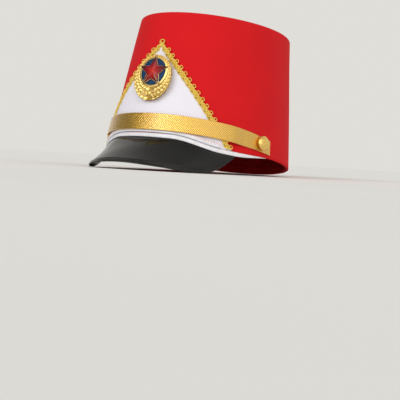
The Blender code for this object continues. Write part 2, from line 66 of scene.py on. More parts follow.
# Visor line and piping
VISOR_LINE_DROP = 0.00665
LINE_FALL = (19, 50)
LINE_RISE = (56, 88)
PIPING_HEIGHT = 0.0044
PIPING_TAPER = (56, 86)
PIPING_END = radians(79.5)
PANEL_ROLL_HEIGHT = 0.0046
PIPING_GIRTH = 0.012

# Panel, braid, strap
SLANT = radians(43.1)
BRAID_APEX = 0.0976
BRAID_WIDTH = 0.0072
BRAID_PITCH = 0.0074
TRIM_OUT = 0.0014
STRAP_OUT = 0.0029
STRAP_END_OUT = 0.0005
STRAP_WIDTH = 0.0160
STRAP_CELL = 0.0021
STRAP_THREAD = 0.00042
STRAP_THICKNESS = 0.0010
STRAP_HEIGHT = 0.0148
STRAP_DROP = 0.0041
STRAP_DROP_POWER = 3.0
STRAP_END = radians(83)
STRAP_SETTLE = (54.5, 63)
BUTTON_ANGLE = radians(75.5)
BUTTON_RADIUS = 0.00725

# Visor
VISOR_END = radians(57.7)
VISOR_REACH = 0.04525
VISOR_FRONT_POWER = 2.42
VISOR_TIP_POWER = 1.098
VISOR_SLOPE = radians(39.3)
VISOR_SIDE_SLOPE = radians(50.4)
VISOR_FLARE = 0.064
VISOR_TURN_SHARE = 0.778
VISOR_THICKNESS = 0.0014
UNDER_PIPING_SLOPE = radians(42)
VISOR_GAP = 0.0003 / cos(UNDER_PIPING_SLOPE)
PIPING_LIP = 0.0016
INSIDE = -SLANTED_WALL - 0.0003

# Badge
BADGE_HEIGHT = 0.0621
PLATE_BACK = STRAP_OUT * cos(LEAN_ANGLE)
PLATE_FRONT = PLATE_BACK + 0.0016
PLATE_HALF_WIDTH = 0.0199
PLATE_HALF_HEIGHT = 0.0223
PLATE_SINK = 0.0056
PLATE_FOOT = PLATE_HALF_HEIGHT + PLATE_SINK
ENAMEL_RADIUS = 0.0131
BEZEL_OUTER = ENAMEL_RADIUS + 0.0022
STAR_RADIUS = 0.0163
STAR_WAIST = 0.0074
LEAVES_IN_ROW = 17
LEAF_GRID = (9, 7)


def smooth_step(value, start, end):
    """Rise smoothly from 0 at start to 1 at end."""
    share = np.clip((value - start) / (end - start), 0.0, 1.0)
    return share * share * (3 - 2 * share)


def points(x, y, z):
    """One array of points from three coordinates that broadcast together."""
    return np.stack(np.broadcast_arrays(x, y, z), axis=-1).astype(float)


def on_crown(angle, height, out=0.0):
    """Points at a stand-off from the crown's outer face."""
    reach = out - LEAN * height
    forward = (RIM_HALF_LENGTH + reach) * np.cos(angle)
    return points((RIM_HALF_WIDTH + reach) * np.sin(angle), -forward, height)


def on_level(angle, height, reach):
    """Points at a reach that is measured level from the rim's oval."""
    return on_crown(angle, height, reach + LEAN * height)


def angle_of(spots):
    """Crown angles of points on the crown."""
    return np.arctan2(spots[..., 0] / RIM_HALF_WIDTH, -spots[..., 1] / RIM_HALF_LENGTH)


def from_front(angle):
    """Degrees round from the front, on either side."""
    return np.degrees(np.abs((np.asarray(angle) + pi) % (2 * pi) - pi))


def visor_line(angle):
    away = from_front(angle)
    return -VISOR_LINE_DROP * smooth_step(away, *LINE_FALL) * (1 - smooth_step(away, *LINE_RISE))


def piping_height(angle):
    return PIPING_HEIGHT * (1 - smooth_step(from_front(angle), *PIPING_TAPER))


def rim_line(angle):
    return visor_line(angle) + piping_height(angle)


def top_height(angle):
    return CROWN_HEIGHT - TOP_RISE * np.cos(angle)


def shoulder(angle):
    """Height where the wall meets its rounded shoulder, and level reach of the rounding's centre."""
    tangent = top_height(angle) - SHOULDER_RADIUS * (1 - sin(LEAN_ANGLE))
    return tangent, -LEAN * tangent - SHOULDER_RADIUS * cos(LEAN_ANGLE)


def strap_height(angle):
    return STRAP_HEIGHT - STRAP_DROP * (np.abs(angle) / STRAP_END) ** STRAP_DROP_POWER


def strap_out(angle):
    settled = smooth_step(from_front(angle), *STRAP_SETTLE)
    return STRAP_OUT + (STRAP_END_OUT - STRAP_OUT) * settled


def angle_at_arc(arc, height):
    """Crown angle reached after an arc length from the front, at one height."""
    steps = 12
    angle = np.zeros(np.broadcast(arc, height).shape)
    for _ in range(steps):
        across = (RIM_HALF_WIDTH - LEAN * height) * np.cos(angle)
        along = (RIM_HALF_LENGTH - LEAN * height) * np.sin(angle)
        angle = angle + arc / steps / np.hypot(across, along)
    return angle


def from_flat(down, aside, out):
    """Points on the crown from its flat pattern: down from the braid's apex and aside from the front."""
    mean_radius = (RIM_HALF_WIDTH + RIM_HALF_LENGTH) / 2
    pattern_apex = (mean_radius - LEAN * BRAID_APEX) / sin(LEAN_ANGLE)
    radius = np.hypot(pattern_apex + down, aside)
    height = BRAID_APEX - (radius - pattern_apex) * cos(LEAN_ANGLE)
    arc = radius * np.arctan2(aside, pattern_apex + down)
    return on_crown(angle_at_arc(arc, height), height, out)


def facing(angle):
    return np.arctan2(RIM_HALF_LENGTH * np.sin(angle), RIM_HALF_WIDTH * np.cos(angle))


def placed(origin, *axes):
    return Matrix.Translation(Vector(origin)) @ Matrix(axes).transposed().to_4x4()


def crown_frame(angle, height):
    """Matrix with its origin on the outer face, X round the crown, Y up the wall and Z outwards."""
    turn = float(facing(angle))
    round_the_crown = Vector((cos(turn), sin(turn), 0))
    up_the_wall = Vector((-LEAN * sin(turn), LEAN * cos(turn), 1)).normalized()
    outwards = round_the_crown.cross(up_the_wall)
    return placed(on_crown(angle, height), round_the_crown, up_the_wall, outwards)


HAT_TO_ROW = Matrix.Translation(REST_PLACE) @ Matrix.Rotation(-REST_TILT, 4, "X")
BADGE_FRAME = crown_frame(0.0, BADGE_HEIGHT)


def bell(value, centre, width):
    """A smooth bump of height 1."""
    return np.exp(-((value - centre) / width) ** 2)


def full_turn(count):
    return np.linspace(0, 2 * pi, count, endpoint=False)


def round_grid(turn, radius, height):
    return points(radius * np.cos(turn), radius * np.sin(turn), height)


def unit(vectors):
    return vectors / (np.linalg.norm(vectors, axis=-1, keepdims=True) + 1e-12)


def run_length(path):
    """Length along a line of points, from 0 at its first."""
    return np.concatenate(([0], np.cumsum(np.linalg.norm(np.diff(path, axis=0), axis=1))))


def pattern(along, across):
    """Pattern coordinates from two lengths that broadcast together."""
    return points(along, across, 0)[..., :2]


# Meshes

def place_object(name, data):
    item = bpy.data.objects.new(name, data)
    bpy.context.scene.collection.objects.link(item)
    return item


def build(name, verts, faces, materials, uv=None, matrix=None, smooth=True, face_material=None):
    """An object of the hat from arrays, in the row frame, riding on the root body.

    What would reach below the surface that the hat rests on is pressed flat.
    """
    world = np.array(HAT_TO_ROW if matrix is None else HAT_TO_ROW @ matrix)
    verts = np.asarray(verts, float).reshape(-1, 3) @ world[:3, :3].T + world[:3, 3]
    verts[:, 2] = np.maximum(verts[:, 2], LOWEST)
    mesh = bpy.data.meshes.new(name)
    mesh.from_pydata(verts.tolist(), [], [tuple(map(int, face)) for face in faces])
    if uv is not None:
        layer = mesh.uv_layers.new(name="cloth")
        index = np.empty(len(mesh.loops), dtype=np.int32)
        mesh.loops.foreach_get("vertex_index", index)
        layer.data.foreach_set("uv", np.asarray(uv, float).reshape(-1, 2)[index].ravel())
    for material in materials:
        mesh.materials.append(material)
    if face_material is not None:
        mesh.polygons.foreach_set("material_index", np.asarray(face_material, dtype=np.int32))
    mesh.polygons.foreach_set("use_smooth", np.full(len(mesh.polygons), smooth))
    mesh.update()
    item = place_object(name, mesh)
    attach(item, "root")
    return item


def grid_faces(columns, rows, closed_columns=False, closed_rows=False, start=0):
    """Quads of a grid of points stored column by column."""
    last_column = columns if closed_columns else columns - 1
    last_row = rows if closed_rows else rows - 1
    column, row = np.meshgrid(np.arange(last_column), np.arange(last_row), indexing="ij")
    here, beside, above = column * rows, (column + 1) % columns * rows, (row + 1) % rows
    corners = [here + row, beside + row, beside + above, here + above]
    return (np.stack(corners, axis=-1).reshape(-1, 4) + start).tolist()


def sheet_faces(columns, rows, start=0):
    """Faces of a closed sheet: a grid, the same grid as its back, and the edge between them."""
    count = columns * rows
    grid = np.arange(count).reshape(columns, rows)
    front = np.array(grid_faces(columns, rows))
    here = np.concatenate((grid[0], grid[1:, -1], grid[-1, -2::-1], grid[-2:0:-1, 0]))
    after = np.roll(here, -1)
    edge = np.stack((after, here, here + count, after + count), axis=-1)
    return (np.vstack((front, front[:, ::-1] + count, edge)) + start).tolist()


def sweep(name, grid, materials, closed_columns=False, uv=None, row_marks=None):
    """A closed skin through columns of closed sections, with its two ends capped if it has any."""
    columns, rows = grid.shape[:2]
    faces = grid_faces(columns, rows, closed_columns, True)
    marks = None if row_marks is None else np.tile(row_marks, len(faces) // rows)
    if not closed_columns:
        faces += [range(rows)[::-1], range((columns - 1) * rows, columns * rows)]
    return build(name, grid, faces, materials, uv, face_material=marks)


def strip(name, section, material, girth):
    """A skin along the rim from its section's lines of points, with uv along and round it."""
    grid = np.stack(section, axis=1)
    uv = pattern(run_length(grid[:, 0])[:, None], np.linspace(0, girth, len(section)))
    return sweep(name, grid, [material], uv=uv)


def tubes(name, paths, radii, materials, sides, pitch=0.002, matrix=None):
    """Round cords along open paths, with uv running along and round them in turns of the pitch."""
    verts, faces, uvs = [], [], []
    start = 0
    turn = full_turn(sides)
    for path, radius in zip(paths, radii):
        count = len(path)
        along = unit(np.gradient(path, axis=0))
        inside_hat = np.array([0.0, 0.01, path[:, 2].mean()])
        outward = path - inside_hat if matrix is None else np.array([0.0, 0.0, 1.0])
        outward = unit(outward - (outward * along).sum(1, keepdims=True) * along)
        side = np.cross(along, outward)
        ring = outward[:, None] * np.cos(turn)[:, None] + side[:, None] * np.sin(turn)[:, None]
        reach = np.broadcast_to(radius, (count,))[:, None, None]
        verts.append((path[:, None] + ring * reach).reshape(-1, 3))
        uvs.append(pattern(run_length(path)[:, None] / pitch, turn / (2 * pi)).reshape(-1, 2))
        faces += [face[::-1] for face in grid_faces(count, sides, False, True, start)]
        end = start + count * sides
        faces += [range(start, start + sides), range(end - sides, end)[::-1]]
        start = end
    return build(name, np.vstack(verts), faces, materials, np.vstack(uvs), matrix)


def capped(name, grid, materials, first, last, matrix=None, plan_uv=False):
    """A closed solid from rings of points, with its first and last rings closed to centre points."""
    sides, rows = grid.shape[:2]
    verts = np.vstack([grid.reshape(-1, 3), [first], [last]])
    faces = [face[::-1] for face in grid_faces(sides, rows, True)]
    marks = [0] * len(faces) + [0, len(materials) - 1] * sides
    here = np.arange(sides) * rows
    for k, after in zip(here, np.roll(here, -1)):
        faces += [(sides * rows, k, after), (sides * rows + 1, after + rows - 1, k + rows - 1)]
    uv = verts[:, :2] if plan_uv else None
    return build(name, verts, faces, materials, uv, matrix, face_material=marks)


def turned(name, profile, materials, matrix, sides):
    """A solid of revolution about Z, from (radius, height) pairs that start and end on the axis."""
    radius, height = np.array(profile[1:-1]).T
    grid = round_grid(full_turn(sides)[:, None], radius, height)
    return capped(name, grid, materials, (0, 0, profile[0][1]), (0, 0, profile[-1][1]), matrix)


def join(name, parts):
    """Make one piece of several."""
    bpy.ops.object.select_all(action="DESELECT")
    for part in parts:
        part.select_set(True)
    bpy.context.view_layer.objects.active = parts[0]
    bpy.ops.object.join()
    parts[0].name = name
    return parts[0]


def stand_for(item, slot, *nodes):
    """Hide the imported solids that a piece stands for; the piece and the slot are not used."""
    if nodes:
        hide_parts(*nodes)


# Materials

class Tree:
    """A node tree with short ways to add and link nodes."""

    def __init__(self, tree):
        self.nodes = tree.nodes
        self.links = tree.links

    def node(self, kind, operation=None, inputs=(), **settings):
        node = self.nodes.new(kind)
        if operation:
            node.operation = operation
        for setting, value in settings.items():
            setattr(node, setting, value)
        for key, value in dict(inputs).items():
            self.feed(node.inputs[key], value)
        return node

    def feed(self, socket, value):
        if isinstance(value, bpy.types.NodeSocket):
            self.links.new(value, socket)
        else:
            socket.default_value = value

    def math(self, operation, first, second=0.0, third=0.0):
        return self.node("ShaderNodeMath", operation, {0: first, 1: second, 2: third}).outputs[0]


class Recipe(Tree):
    """A material in the making, with the textures that several of them share."""

    def __init__(self, name, colour, roughness, metallic=0.0, **sockets):
        self.material = bpy.data.materials.new(name)
        self.material.use_nodes = True
        self.material.diffuse_color = (*colour, 1.0)
        super().__init__(self.material.node_tree)
        self.shader = self.nodes["Principled BSDF"]
        sockets.update(Base_Color=(*colour, 1.0), Roughness=roughness, Metallic=metallic)
        for socket, value in sockets.items():
            self.shader.inputs[socket.replace("_", " ")].default_value = value

    def coords(self, which, scale=(1, 1, 1)):
        source = self.node("ShaderNodeTexCoord").outputs[which]
        mapping = self.node("ShaderNodeMapping", inputs={"Vector": source, "Scale": scale})
        return mapping.outputs["Vector"]

    def noise(self, scale, detail, roughness=0.55, stretch=(1, 1, 1)):
        inputs = {"Vector": self.coords("Object", stretch), "Scale": scale, "Detail": detail,
                  "Roughness": roughness}
        return self.node("ShaderNodeTexNoise", inputs=inputs).outputs["Fac"]

    def colour(self, factor, *stops):
        """Colour the surface by a ramp of (position, colour) stops."""
        ramp = self.node("ShaderNodeValToRGB", inputs={"Fac": factor})
        elements = ramp.color_ramp.elements
        while len(elements) < len(stops):
            elements.new(0.5)
        for element, (position, colour) in zip(elements, stops):
            element.position = position
            element.color = (*colour, 1.0)
        self.feed(self.shader.inputs["Base Color"], ramp.outputs["Color"])

    def rough(self, factor, low, high):
        span = self.node("ShaderNodeMapRange", inputs={"Value": factor, "To Min": low, "To Max": high})
        self.feed(self.shader.inputs["Roughness"], span.outputs["Result"])

    def bump(self, height, distance, strength):
        inputs = {"Height": height, "Distance": distance, "Strength": strength}
        normal = self.shader.inputs["Normal"]
        if normal.links:
            inputs["Normal"] = normal.links[0].from_socket
        self.feed(normal, self.node("ShaderNodeBump", inputs=inputs).outputs["Normal"])

    def waves(self, direction, scale):
        """A smooth wave across one direction of the uv, from -1 to 1."""
        split = self.node("ShaderNodeSeparateXYZ", inputs={"Vector": self.coords("UV")}).outputs
        total = self.math("ADD", self.math("MULTIPLY", split[0], direction[0]),
                          self.math("MULTIPLY", split[1], direction[1]))
        return self.math("SINE", self.math("MULTIPLY", total, 2 * pi * scale))


def shaded(colour, factor):
    return tuple(channel * factor for channel in colour)


def cloth(name, colour, thread=0.00055, sheen=0.25, roughness=0.85, variation=0.07, relief=0.00010):
    """Plain-woven cloth: threads both ways with slubs, a little fuzz and slow changes of tone."""
    mat = Recipe(name, colour, roughness, Sheen_Weight=sheen, Sheen_Roughness=0.5,
                 Specular_IOR_Level=0.15, Sheen_Tint=(*[min(1, c * 1.4 + 0.1) for c in colour], 1))
    warp = mat.waves((1, 0), 1 / thread)
    weft = mat.waves((0, 1), 1 / thread)
    weave = mat.math("MULTIPLY", warp, weft)
    slub = mat.noise(900, 2)
    slow = mat.noise(26, 3)
    tone = mat.math("ADD", mat.math("MULTIPLY", slub, 0.55), mat.math("MULTIPLY", slow, 0.45))
    mat.colour(tone, (0.30, shaded(colour, 1 - variation)), (0.70, shaded(colour, 1 + variation)))
    mat.rough(slub, roughness - 0.08, min(1.0, roughness + 0.08))
    mat.bump(mat.math("ADD", mat.math("MULTIPLY", weave, 0.35), slub), relief, 0.6)
    return mat.material


def gold_thread():
    """Metallic thread wound round a core, with painted glints that make it paler and smoother in spots."""
    mat = Recipe("gold_thread", (0.95, 0.66, 0.09), 0.40, 0.25, Specular_IOR_Level=0.6)
    wound = mat.waves((4.0, 2.0), 1.0)
    painted_glint = mat.noise(1100, 2)
    # Painted glints: pale, smoother spots in the colour where the noise is high
    mat.colour(painted_glint, (0.30, (0.74, 0.40, 0.03)), (0.44, (1.0, 0.66, 0.07)), (0.64, (1.0, 0.82, 0.22)))
    mat.rough(painted_glint, 0.46, 0.26)
    mat.bump(wound, 0.00010, 0.7)
    mat.bump(painted_glint, 0.00012, 0.5)
    return mat.material


def braid_shade_tape():
    """The braid's dull dark tape, seen between its cords: painted shade in the gaps between them."""
    mat = Recipe("braid_shade_tape", (0.30, 0.17, 0.02), 0.8, 0.1, Specular_IOR_Level=0.2)
    threads = mat.noise(1400, 2)
    mat.colour(threads, (0.35, (0.16, 0.075, 0.008)), (0.65, (0.42, 0.25, 0.035)))
    mat.bump(threads, 0.00015, 0.8)
    return mat.material


def gold_ribbon():
    """The strap's woven metallic ribbon: bright raised diamonds between two sets of slanting threads, turned
    brown by painted shade where the lattice is low, with painted glints.
    """
    mat = Recipe("gold_ribbon", (0.90, 0.50, 0.08), 0.20, 0.92,
                 Coat_Weight=1.0, Coat_Roughness=0.12, Coat_IOR=1.6)
    first = mat.waves((1, 1), 0.5 / STRAP_CELL)
    second = mat.waves((1, -1), 0.5 / STRAP_CELL)
    first = mat.math("MULTIPLY", first, first)
    second = mat.math("MULTIPLY", second, second)
    diamonds = mat.math("MULTIPLY", first, mat.math("MULTIPLY_ADD", second, 0.65, 0.35))
    threads = mat.waves((0, 1), 1 / STRAP_THREAD)
    painted_glint = mat.noise(1300, 2)
    # Painted shade: brown where the lattice is low, in its grooves; painted glints make it paler in spots
    tone = mat.math("MULTIPLY_ADD", painted_glint, 0.25, mat.math("SUBTRACT", diamonds, 0.12))
    mat.colour(tone, (0.08, (0.50, 0.19, 0.012)), (0.36, (0.93, 0.53, 0.05)), (0.74, (1.0, 0.78, 0.16)))
    mat.rough(tone, 0.27, 0.11)
    mat.bump(threads, 0.00005, 0.5)
    return mat.material


def cast_gold():
    """Bright cast metal with painted shade in its hollows, a painted highlight on its sharp raised edges, and
    fine scratches.
    """
    mat = Recipe("cast_gold", (0.90, 0.60, 0.17), 0.24, 1.0)
    fine = mat.noise(700, 4)
    painted_light_curvature = mat.node("ShaderNodeNewGeometry").outputs["Pointiness"]
    # Painted shade where the surface is hollow, painted highlight where it is raised and sharp
    mat.colour(painted_light_curvature, (0.42, (0.42, 0.21, 0.03)), (0.50, (0.86, 0.58, 0.15)), (0.58, (0.98, 0.80, 0.36)))
    mat.rough(fine, 0.24, 0.40)
    mat.bump(fine, 0.00006, 0.35)
    return mat.material


def patent():
    """Black patent: a smooth coat over a faint grain that shows as soft waves in reflections."""
    mat = Recipe("patent_black", (0.006, 0.006, 0.006), 0.08, Specular_IOR_Level=0.36)
    waves = mat.noise(70, 2, 0.4)
    grain = mat.noise(900, 3)
    mat.colour(grain, (0.3, (0.003, 0.003, 0.003)), (0.7, (0.008, 0.008, 0.008)))
    mat.rough(grain, 0.05, 0.11)
    mat.bump(waves, 0.0009, 0.22)
    mat.bump(grain, 0.00004, 0.4)
    return mat.material


def enamel(name, deep, bright):
    """Glassy enamel over a struck ground, lighter in patches."""
    mat = Recipe(name, bright, 0.30, Specular_IOR_Level=0.18)
    patches = mat.noise(130, 3)
    mat.colour(patches, (0.35, deep), (0.65, bright))
    mat.rough(mat.noise(900, 2), 0.24, 0.40)
    mat.bump(patches, 0.0002, 0.25)
    return mat.material


def star_enamel_painted_light():
    """Red enamel with painted light: a painted highlight over the star's raised middle and painted shade
    towards its points.
    """
    mat = Recipe("red_glass_painted_light", (0.30, 0.004, 0.008), 0.30, Specular_IOR_Level=0.30)
    place = mat.coords("Object")
    middle = HAT_TO_ROW @ BADGE_FRAME @ Vector((0, 0, PLATE_FRONT + 0.004))
    reach = mat.node("ShaderNodeVectorMath", "DISTANCE", {0: place, 1: tuple(middle)}).outputs["Value"]
    patches = mat.noise(260, 2)
    share = mat.math("MULTIPLY_ADD", patches, 0.25, mat.math("DIVIDE", reach, STAR_RADIUS))
    # Painted highlight near the star's middle, painted shade towards its points
    mat.colour(share, (0.22, (0.52, 0.02, 0.01)), (0.48, (0.30, 0.004, 0.008)), (0.85, (0.055, 0.003, 0.008)))
    mat.rough(patches, 0.22, 0.42)
    mat.bump(patches, 0.0001, 0.3)
    return mat.material


def piping_satin():
    """Satin cord cover with fine slanting ribs."""
    colour = (0.83, 0.82, 0.87)
    mat = Recipe("piping_satin", colour, 0.42, Sheen_Weight=0.2, Specular_IOR_Level=0.4)
    ribs = mat.waves((1, 0.6), 1 / 0.0009)
    slow = mat.noise(160, 3)
    mat.colour(slow, (0.3, shaded(colour, 0.90)), (0.7, shaded(colour, 1.05)))
    mat.rough(slow, 0.36, 0.50)
    mat.bump(ribs, 0.00007, 0.5)
    mat.bump(slow, 0.0004, 0.35)
    return mat.material


def brushed_post():
    mat = Recipe("post_steel", (0.55, 0.55, 0.55), 0.35, 1.0)
    brushed = mat.noise(260, 3, stretch=(1, 1, 14))
    mat.colour(brushed, (0.3, (0.42, 0.42, 0.43)), (0.7, (0.62, 0.62, 0.62)))
    mat.rough(brushed, 0.28, 0.46)
    mat.bump(brushed, 0.00005, 0.5)
    return mat.material


RED = cloth("red_wool", (0.64, 0.0085, 0.0125), sheen=0.05)
LINING = cloth("lining_red", (0.66, 0.014, 0.018), thread=0.0008, sheen=0.1, roughness=0.9)
STITCH = cloth("stitch_red", (0.72, 0.10, 0.13), thread=0.0004, sheen=0.1)
HEM = cloth("hem_red", (0.68, 0.012, 0.016), thread=0.0007, sheen=0.1, roughness=0.9)
WHITE = cloth("white_felt", (0.80, 0.78, 0.87), sheen=0.15, roughness=0.8, variation=0.03, relief=0.00006)
PIPING = piping_satin()
THREAD = gold_thread()
BRAID_SHADE_TAPE = braid_shade_tape()
RIBBON = gold_ribbon()
CAST = cast_gold()
PATENT = patent()
BLUE = enamel("blue_glass", (0.006, 0.022, 0.105), (0.008, 0.052, 0.115))
STAR_RED = star_enamel_painted_light()
STEEL = brushed_post()


def slow_wave(angle, height, seed=0.0):
    """Small slow unevenness of stiffened cloth, from about -1 to 1."""
    return (np.sin(3 * angle + 1.3 + seed + 21 * height) * 0.4
            + np.sin(7 * angle - 0.6 - 34 * height + seed) * 0.3
            + np.sin(11 * angle + 2.1 * seed + 55 * height) * 0.2
            + np.sin(19 * angle + 90 * height) * 0.1)


def seam_relief(angle, height):
    """Two folded edges that meet at the centre of the back."""
    aside = np.abs(angle % (2 * pi) - pi) * (RIM_HALF_LENGTH - LEAN * height)
    return 0.00030 * bell(aside, 0.0016, 0.0009) - 0.00075 * bell(aside, 0.0, 0.00045)


def make_crown():
    """The red wall with its rolled lower edge, rounded shoulder, top flange and dark lining."""
    outer_rows, shoulder_rows, lining_rows, fold_rows = 34, 7, 14, 5
    wave_depth = 0.00022
    lining_gap = 0.001
    # share of the flange's width, drop below the top: a flat, a stitched groove, a flat, a rolled edge
    flange = ((0.25, 0.0), (0.5, 0.0), (0.56, 0.00030), (0.62, 0.0), (0.85, 0.0), (0.96, 0.00015),
              (1.0, 0.0007), (1.0, 0.0018))
    seam = 0.05
    wide = np.linspace(-pi + seam, pi - seam, 260)
    narrow = np.linspace(pi - seam, pi + seam, 28)[1:-1]
    angle = np.concatenate((wide, narrow))
    fold = WALL / 2
    foot = rim_line(angle) + fold
    top = top_height(angle)
    tangent, centre_reach = shoulder(angle)
    profile = []
    for share in np.linspace(0, 1, outer_rows):
        height = foot + (tangent - foot) * share
        wave = wave_depth * slow_wave(angle, height) * min(1, share * 6, (1 - share) * 6)
        relief = seam_relief(angle, height) * min(1, (1 - share) * 12)
        profile.append(on_crown(angle, height, wave + relief))
    for turn in np.linspace(LEAN_ANGLE, pi / 2, shoulder_rows + 1)[1:]:
        height = top - SHOULDER_RADIUS * (1 - sin(turn))
        profile.append(on_level(angle, height, centre_reach + SHOULDER_RADIUS * cos(turn)))
    for inward, drop in flange:
        profile.append(on_level(angle, top - drop, centre_reach - TOP_FLANGE * inward))
    marks = [0] * len(profile)
    for inward in (0.8, 0.2):
        profile.append(on_level(angle, top - WALL, centre_reach - TOP_FLANGE * inward))
    for share in np.linspace(0, 1, lining_rows):
        start = tangent - lining_gap
        profile.append(on_crown(angle, start + (foot - start) * share, -SLANTED_WALL))
    marks += [1] * (len(profile) - len(marks))
    for step in range(1, fold_rows + 1):
        turn = pi * step / (fold_rows + 1)
        profile.append(on_crown(angle, foot - fold * sin(turn), -SLANTED_WALL / 2 * (1 + cos(turn))))
    marks += [0] * fold_rows
    grid = np.stack(profile, axis=1)
    uv = pattern(run_length(grid[:, 10])[:, None], run_length(grid[0]))
    stand_for(sweep("crown_cloth", grid, [RED, LINING], True, uv, marks), "red_cloth", "crown_wall")


def make_top():
    """The flat top, slightly sunk inside its flange, with a faint crown to its cloth."""
    dome_height, wave_depth, thickness = 0.00035, 0.00012, 0.0025
    # inward of the flange's edge, drop below it: the tucked edge of the disc
    edge_steps = ((0.0, 0.0030), (0.0, 0.0013), (0.00012, 0.0009), (0.00048, 0.0007), (0.0016, 0.00055))
    angle = full_turn(180) - pi
    opening = shoulder(angle)[1] - TOP_FLANGE - 0.0001
    rings = [on_level(angle, top_height(angle) - drop, opening - inward) for inward, drop in edge_steps]
    edge = rings[-1]
    centre = np.array([0, edge[:, 1].mean(), edge[:, 2].mean()])
    for share in np.linspace(0.03, 0.98, 22):
        dome = dome_height * (1 - (1 - share) ** 4)
        wave = wave_depth * np.sin(5 * angle + 9 * share) * share * (1 - share) * 4
        rings.append(edge + (centre - edge) * share + points(0, 0, dome + wave))
    grid = np.stack(rings[::-1], axis=1)
    top = capped("crown_top_cloth", grid, [RED, LINING], centre + (0, 0, dome_height),
                 centre - (0, 0, thickness), plan_uv=True)
    stand_for(top, "red_cloth", "crown_top")


def make_hem():
    """The turned-up hem inside the rim, with a row of stitches near its upper edge."""
    start = radians(60.5)
    height = 0.0068
    gap = 0.0001
    # share of the height, depth of the cloth: the dip near the upper edge is the row of stitches
    section = ((0.0, 0.0001), (0.0, 0.0007), (0.25, 0.0010), (0.55, 0.0010), (0.78, 0.0006),
               (0.84, 0.0010), (0.96, 0.0009), (1.0, 0.0005), (1.0, 0.0001))
    angle = np.linspace(2 * pi - start, start, 420)
    foot = rim_line(angle) + 0.0006
    puckers = 0.00010 * np.sin(angle * 150)
    lines = []
    for share, depth in section:
        out = -SLANTED_WALL - gap - depth - puckers * (0.4 < share < 0.98)
        lines.append(on_crown(angle, foot + height * share, out))
    stand_for(strip("inner_hem_cloth", lines, HEM, height), "hem_cloth", "inner_hem")


def make_panel():
    """The white triangle, whose edges lie under the braid."""
    rows, columns = 60, 81
    foot_down = 0.1013
    front_out, back_out = 0.0011, 0.0001
    apex_down = BRAID_WIDTH / 2 / sin(SLANT)
    share = np.linspace(0, 1, rows)[:, None]
    down = apex_down + (foot_down - apex_down) * share
    aside = (down - apex_down * 0.96) * tan(SLANT) * np.linspace(-1, 1, columns)
    layers = []
    for out, wave_depth in ((front_out, 0.00010), (back_out, 0.0)):
        layer = from_flat(down, aside, out)
        foot = rim_line(angle_of(layer))
        drop = (foot - (BRAID_APEX - foot_down)) * share ** 5
        height = np.maximum(layer[..., 2] + drop, foot + 0.0001)
        wave = wave_depth * slow_wave(angle_of(layer), height, 2.0)
        layers.append(on_crown(angle_of(layer), height, out + wave))
    uv = np.stack([pattern(down, aside)] * 2)
    panel = build("front_panel_felt", np.stack(layers), sheet_faces(rows, columns), [WHITE], uv)
    stand_for(panel, "white_cloth", "front_panel")


def braid_path(along, aside, out):
    """Points of a cord in the braid: along from the apex, aside outwards, on the side of along's sign."""
    distance = np.abs(along)
    at_apex = bell(distance, 0.0, 0.0045)
    aside = aside * (1 - 0.4 * at_apex)
    distance = distance - aside / tan(SLANT) * at_apex
    down = distance * cos(SLANT) - aside * sin(SLANT) + BRAID_WIDTH / 2 / sin(SLANT)
    lateral = distance * sin(SLANT) + aside * cos(SLANT)
    path = from_flat(down, np.maximum(lateral, 0.0), out)
    path[..., 0] *= np.where(along < 0, -1.0, 1.0)
    return path


def above_rim(path):
    """The part of a path, or of a run of sections, that lies clear above the rim's line."""
    spare = 0.0007
    sections = path.reshape(len(path), -1, 3)
    kept = np.flatnonzero(sections[..., 2].min(axis=1) > rim_line(angle_of(sections[:, 0])) + spare)
    return path[kept[0]:kept[-1] + 1]


